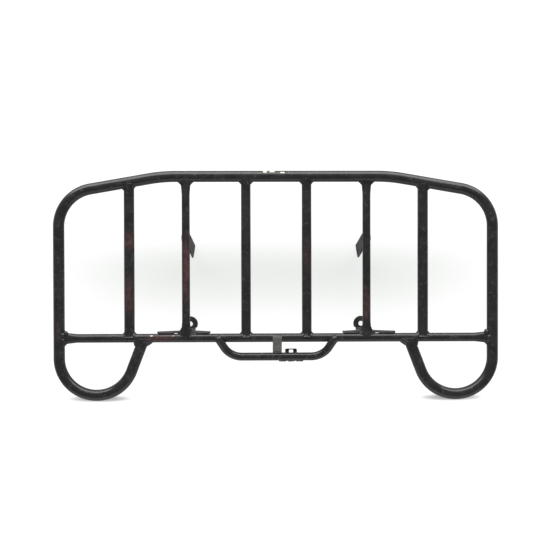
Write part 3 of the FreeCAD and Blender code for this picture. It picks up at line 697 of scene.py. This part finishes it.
def lug_shells(side):
    """Plate along the cross tube, its bend, and the level ring round the bolt hole."""
    flip = np.array([side, 1, 1])
    web = plate_shell([rounded_outline(LUG_OUTLINE, LUG_ROUNDS, step=2.0)],
                      lambda p: np.column_stack([p[:, 0], LUG_PLATE_Y + p[:, 2], p[:, 1]]) * flip)
    fold_y = LUG_PLATE_Y + PLATE_T + LUG_FOLD_R
    fold_z = PLATE_T + LUG_FOLD_R
    centre = np.array([LUG_X, fold_y, fold_z])
    bend = folded(centre, -NORTH, -UP, LUG_FOLD_R + PLATE_T / 2, LUG_NECK_HALF, EAST) * flip
    half_turn = math.asin((LUG_Y - fold_y) / LUG_R)
    turn = np.linspace(-half_turn, math.pi + half_turn, 60)
    ring = np.stack([LUG_X + LUG_R * np.cos(turn), LUG_Y + LUG_R * np.sin(turn)], -1)
    flat = run(ring[-1], ring[0], step=1.5)[1:]
    hole = circle((LUG_X, LUG_Y), LUG_HOLE_R, 48)
    eye = plate_shell([np.concatenate([ring, flat]), hole], lambda p: p * flip)
    return [web, shell(bend), eye]


def stay_shells(side):
    """Leaning web with its bolt hole, its bend, and the seat under the slat with rounded outer corners. The
    web twists: its slant along the slat grows evenly from none at the bend to the full one at the foot."""
    flip = np.array([side, 1, 1])
    lean = (STAY_TOP_X - STAY_FOOT_X) / STAY_FOLD_Z
    front = STAY_OUTLINE[1][0]

    def on_web(p):
        slant = STAY_TWIST * np.clip(front - p[:, 0], 0, None) * (1 - p[:, 1] / STAY_FOLD_Z)
        return np.column_stack([STAY_FOOT_X + lean * p[:, 1] + slant + p[:, 2], p[:, 0], p[:, 1]]) * flip

    outline = rounded_outline(STAY_OUTLINE[::-1], STAY_ROUNDS[::-1], step=2.0)
    web = plate_shell([outline, circle(STAY_HOLE, STAY_HOLE_R, 40)], on_web)
    rear_y, fore_y = STAY_SEAT_Y
    fold_x = STAY_TOP_X + PLATE_T + STAY_FOLD_R
    centre = np.array([fold_x, (rear_y + fore_y) / 2, STAY_FOLD_Z])
    half = (fore_y - rear_y) / 2
    bend = folded(centre, -EAST, UP, STAY_FOLD_R + PLATE_T / 2, half, NORTH) * flip
    corners = ((fold_x, rear_y), (STAY_SEAT_X, rear_y), (STAY_SEAT_X, fore_y), (fold_x, fore_y))
    seat_outline = rounded_outline(corners, (0, STAY_SEAT_ROUND, STAY_SEAT_ROUND, 0), step=2.0)
    low = STAY_FOLD_Z + STAY_FOLD_R
    seat = plate_shell([seat_outline], lambda p: (p + (0, 0, low)) * flip)
    return [web, shell(bend), seat]


def paper():
    """White floor. To the camera it glows near white and keeps a faint shadow, with a pale grey band behind
    the slats and a soft shade under each loop, which fades in low views. The paint mirrors it at a share, for
    all other light it is a dull grey, and from below it is clear."""
    material = bpy.data.materials.new("white_paper")
    material.use_nodes = True
    tree = material.node_tree
    tree.nodes.clear()
    path = add(tree, "ShaderNodeLightPath")
    mirrored = add(tree, "ShaderNodeMath", [(0, path.outputs["Is Glossy Ray"]), (1, MIRRORED_SHARE)],
                   operation="MULTIPLY")
    seen = add(tree, "ShaderNodeMath", [(0, path.outputs["Is Camera Ray"]), (1, mirrored.outputs[0])],
               operation="MAXIMUM")
    seen = add(tree, "ShaderNodeMath", [(0, seen.outputs[0]), (1, path.outputs["Is Transmission Ray"])],
               operation="MAXIMUM")
    dull = add(tree, "ShaderNodeBsdfDiffuse", [("Color", linear(FLOOR_COLOUR))])
    shade = add(tree, "ShaderNodeBsdfDiffuse", [("Color", linear(SHADOW_COLOUR))])
    place = add(tree, "ShaderNodeTexCoord").outputs["Object"]
    place = add(tree, "ShaderNodeSeparateXYZ", [("Vector", place)])
    far = add(tree, "ShaderNodeMath", [(0, place.outputs["X"])], operation="ABSOLUTE")
    where = {"far": far.outputs[0], "Y": place.outputs["Y"]}
    band = 1.0
    for value, clear, full in PALE_BAND:
        share = add(tree, "ShaderNodeMapRange", [("Value", where[value]), ("From Min", clear),
                                                 ("From Max", full)], interpolation_type="SMOOTHSTEP")
        both = add(tree, "ShaderNodeMath", [(0, share.outputs["Result"]), (1, band)], operation="MULTIPLY")
        band = both.outputs[0]
    spread = 0.0
    for value, middle, half in LOOP_SHADE:
        aside = add(tree, "ShaderNodeMapRange", [("Value", where[value]), ("From Min", middle),
                                                 ("From Max", middle + half)], clamp=False).outputs["Result"]
        squared = add(tree, "ShaderNodeMath", [(0, aside), (1, aside), (2, spread)], operation="MULTIPLY_ADD")
        spread = squared.outputs[0]
    geometry = add(tree, "ShaderNodeNewGeometry")
    upright = add(tree, "ShaderNodeSeparateXYZ", [("Vector", geometry.outputs["Incoming"])])
    from_above = add(tree, "ShaderNodeMapRange", [("Value", upright.outputs["Z"]), ("From Min", SHADE_GONE),
                                                  ("From Max", SHADE_FULL)], interpolation_type="SMOOTHSTEP")
    contact = add(tree, "ShaderNodeMapRange", [("Value", spread), ("From Min", 1.0), ("From Max", 0.0),
                                               ("To Max", from_above.outputs["Result"])],
                  interpolation_type="SMOOTHSTEP")
    tint = add(tree, "ShaderNodeMix", [(SHARE, band), (UNDER, (1, 1, 1, 1)), (OVER, linear(BAND_COLOUR))],
               data_type="RGBA")
    tint = add(tree, "ShaderNodeMix", [(SHARE, contact.outputs["Result"]), (UNDER, tint.outputs[MIXED]),
                                       (OVER, linear(SHADE_COLOUR))], data_type="RGBA")
    glow = add(tree, "ShaderNodeEmission", [("Color", tint.outputs[MIXED]), ("Strength", FLOOR_GLOW)])
    lit = add(tree, "ShaderNodeAddShader", [(0, shade.outputs[0]), (1, glow.outputs[0])])
    surface = add(tree, "ShaderNodeMixShader", [(0, seen.outputs[0]), (1, dull.outputs[0]),
                                                (2, lit.outputs[0])])
    under = geometry.outputs["Backfacing"]
    clear = add(tree, "ShaderNodeBsdfTransparent")
    surface = add(tree, "ShaderNodeMixShader", [(0, under), (1, surface.outputs[0]), (2, clear.outputs[0])])
    add(tree, "ShaderNodeOutputMaterial", [("Surface", surface.outputs[0])])
    return material


def lay_floor(scene):
    """A level square under the feet."""
    mesh = bpy.data.meshes.new("floor")
    corners = [(x * FLOOR_HALF, y * FLOOR_HALF, 0) for x, y in ((-1, -1), (1, -1), (1, 1), (-1, 1))]
    mesh.from_pydata(corners, [], [(0, 1, 2, 3)])
    mesh.materials.append(paper())
    floor = bpy.data.objects.new("floor", mesh)
    scene.collection.objects.link(floor)


def light_room(scene):
    """Even light from all round, with white for the camera, and the two lamps: the bright wall past the
    front edge and a weak bounce from the other side."""
    world = bpy.data.worlds.new("studio")
    scene.world = world
    world.use_nodes = True
    tree = world.node_tree
    tree.nodes.clear()
    path = add(tree, "ShaderNodeLightPath")
    white = add(tree, "ShaderNodeBackground", [("Color", (1, 1, 1, 1)), ("Strength", 1.0)])
    room = add(tree, "ShaderNodeBackground", [("Color", (1, 1, 1, 1)), ("Strength", ROOM_LIGHT)])
    sky = add(tree, "ShaderNodeMixShader", [(0, path.outputs["Is Camera Ray"]), (1, room.outputs[0]),
                                            (2, white.outputs[0])])
    add(tree, "ShaderNodeOutputWorld", [("Surface", sky.outputs[0])])
    for name, place, aim, size, power in LAMPS:
        light = bpy.data.lights.new(name, "AREA")
        light.shape = "RECTANGLE"
        light.size, light.size_y = size
        light.energy = power
        lamp = bpy.data.objects.new(name, light)
        lamp.location = place
        lamp.rotation_euler = (Vector(aim) - Vector(place)).to_track_quat("-Z", "Y").to_euler()
        scene.collection.objects.link(lamp)


def place_camera(scene):
    """The photo's view: from above, all but square onto the rack."""
    view = bpy.data.cameras.new("camera")
    view.sensor_fit = "HORIZONTAL"
    view.angle = CAMERA_ANGLE
    camera = bpy.data.objects.new("camera", view)
    camera.location = CAMERA_PLACE
    camera.rotation_euler = CAMERA_TURN
    scene.collection.objects.link(camera)
    scene.camera = camera


TUBE_PAINT = black_paint("black_paint_on_steel_tube", "#222123", "#302f31", "#5a585b", 0.24)
PLATE_PAINT = black_paint("black_paint_on_steel_plate", "#2a2a29", "#3c3c3a", "#6a6a68", 0.55)
# The strap's black paint is given as a lighter grey: painted light for its face turned up towards the light
LIT_STRAP_PAINT = black_paint("black_paint_on_steel_strap_lightened_as_lit", "#6a6b69", "#7e7f7c", "#a6a7a4", 0.45)
WELD_PAINT = black_paint("black_paint_on_weld_bead", "#201f21", "#323133", "#5f5d60", 0.24)

# Tubes, and the welds at the slats' ends
tubes = {"perimeter_tube": perimeter_grid(),
         "cross_tube": pressed_grid(level(-SIDE_X, CROSS_Y), level(SIDE_X, CROSS_Y), CROSS_R, CROSS_END,
                                    PERIMETER_R, PERIMETER_R),
         "centre_hoop": hoop_grid()}
front_collars = []
rear_collars = []
for label, distance, radius, front_weld in SLATS:
    pressed = label == "bracketed"
    half = SLAT_END if pressed else (radius, radius)
    rear_weld = BRACKETED_WELD if pressed else REAR_WELD
    for hand, x in (("left", -distance), ("right", distance)):
        rear = level(x, CROSS_Y)
        front = level(x, front_y(x))
        tubes["slat_%s_%s" % (hand, label)] = pressed_grid(rear, front, radius, half, CROSS_R, PERIMETER_R)
        swept = EAST - NORTH * math.copysign(BOW_SLOPE, x) * (abs(x) > BOW_X)
        front_collars.append(collar_grid(front, -NORTH, swept, half, PERIMETER_R, front_weld, x,
                                         start=3.0, lip=0.8, hollow=1.35))
        rear_collars.append(collar_grid(rear, NORTH, EAST, half, CROSS_R, rear_weld, x + 1))
for node, grid in tubes.items():
    make_piece("painted_" + node, [shell(grid)], TUBE_PAINT, [node])

# Welds of the sides, arms, lug brackets and stays, left and right
side_collars = []
arm_collars = []
lug_runs = []
stay_runs = []
for s in (-1, 1):
    side_collars.append(collar_grid(level(s * SIDE_X, CROSS_Y), -s * EAST, NORTH, CROSS_END, PERIMETER_R,
                                    SIDE_WELD, s))
    for inward, forward, rise, radius in SIDE_LUMPS[s]:
        place = level(s * (SIDE_X - inward), CROSS_Y + forward) + rise * UP
        side_collars.append(blob_grid(place, radius, s + forward))
    slant = np.array([s * math.tan(ARM_LEAN), -1, 0])
    arm_collars.append(collar_grid(level(s * ARM_X, CROSS_Y), slant, EAST / math.cos(ARM_LEAN),
                                   (PERIMETER_R, PERIMETER_R), CROSS_R, ARM_WELD, 3 + s,
                                   hollow=0.7, skew=-ARM_SKEW * s))
    for inner, outer in LUG_BEADS:
        place = np.array([0, LUG_BEAD_Y, LUG_BEAD_Z])
        lug_runs.append(bead_grid(place + s * inner * EAST, place + s * outer * EAST, BEAD_R, inner + s))
    for x in STAY_BEADS:
        place = np.array([s * x, STAY_BEAD_Y, STAY_BEAD_Z])
        stay_runs.append(bead_grid(place, place + STAY_BEAD_LENGTH * NORTH, BEAD_R, x + s))

# Welds of the hoop, strap and tab
caps = []
for end, corner in (hoop_corners()[:2], hoop_corners()[:1:-1]):
    caps.append(blob_grid(end + CAP_IN * unit(corner - end), CAP_R, end[0]))
nose = level(STRAP_X, CROSS_Y) + NOSE_OUT * (math.sin(NOSE_TURN) * NORTH + math.cos(NOSE_TURN) * UP)
foot = hoop_bar(STRAP_X, HOOP_R * math.cos(FOOT_TURN), HOOP_R * math.sin(FOOT_TURN))
strap_beads = [bead_grid(nose - NOSE_HALF * EAST, nose + NOSE_HALF * EAST, NOSE_R, 1.0),
               bead_grid(foot - FOOT_HALF * EAST, foot + FOOT_HALF * EAST, BEAD_R, 2.0)]
tab_runs = []
for offset, dy, half in TAB_BEADS:
    place = hoop_bar(TAB_X + offset, dy, TAB_BEAD_Z)
    tab_runs.append(bead_grid(place - half * EAST, place + half * EAST, BEAD_R, offset))
welds = {"slat_front_welds": front_collars, "slat_rear_welds": rear_collars, "cross_tube_welds": side_collars,
         "loop_arm_welds": arm_collars, "hoop_welds": caps, "strap_welds": strap_beads, "tab_welds": tab_runs,
         "lug_bracket_welds": lug_runs, "stay_welds": stay_runs}
for node, grids in welds.items():
    shells = [shell(grid) for grid in grids]
    make_piece("rippled_" + node, shells, WELD_PAINT, [node], sharp=60.0)

# Plates
make_piece("formed_centre_strap", [shell(strap_grid())], LIT_STRAP_PAINT, ["centre_strap"])
make_piece("slotted_hoop_tab", [tab_shell()], PLATE_PAINT, ["hoop_tab"])
for hand, side in (("left", -1), ("right", 1)):
    lug = "lug_bracket_" + hand
    make_piece("folded_" + lug, lug_shells(side), PLATE_PAINT, [lug])
    stay = "stay_" + hand
    make_piece("folded_" + stay, stay_shells(side), PLATE_PAINT, [stay])

studio = bpy.context.scene
studio.view_settings.view_transform = "Standard"
lay_floor(studio)
light_room(studio)
place_camera(studio)
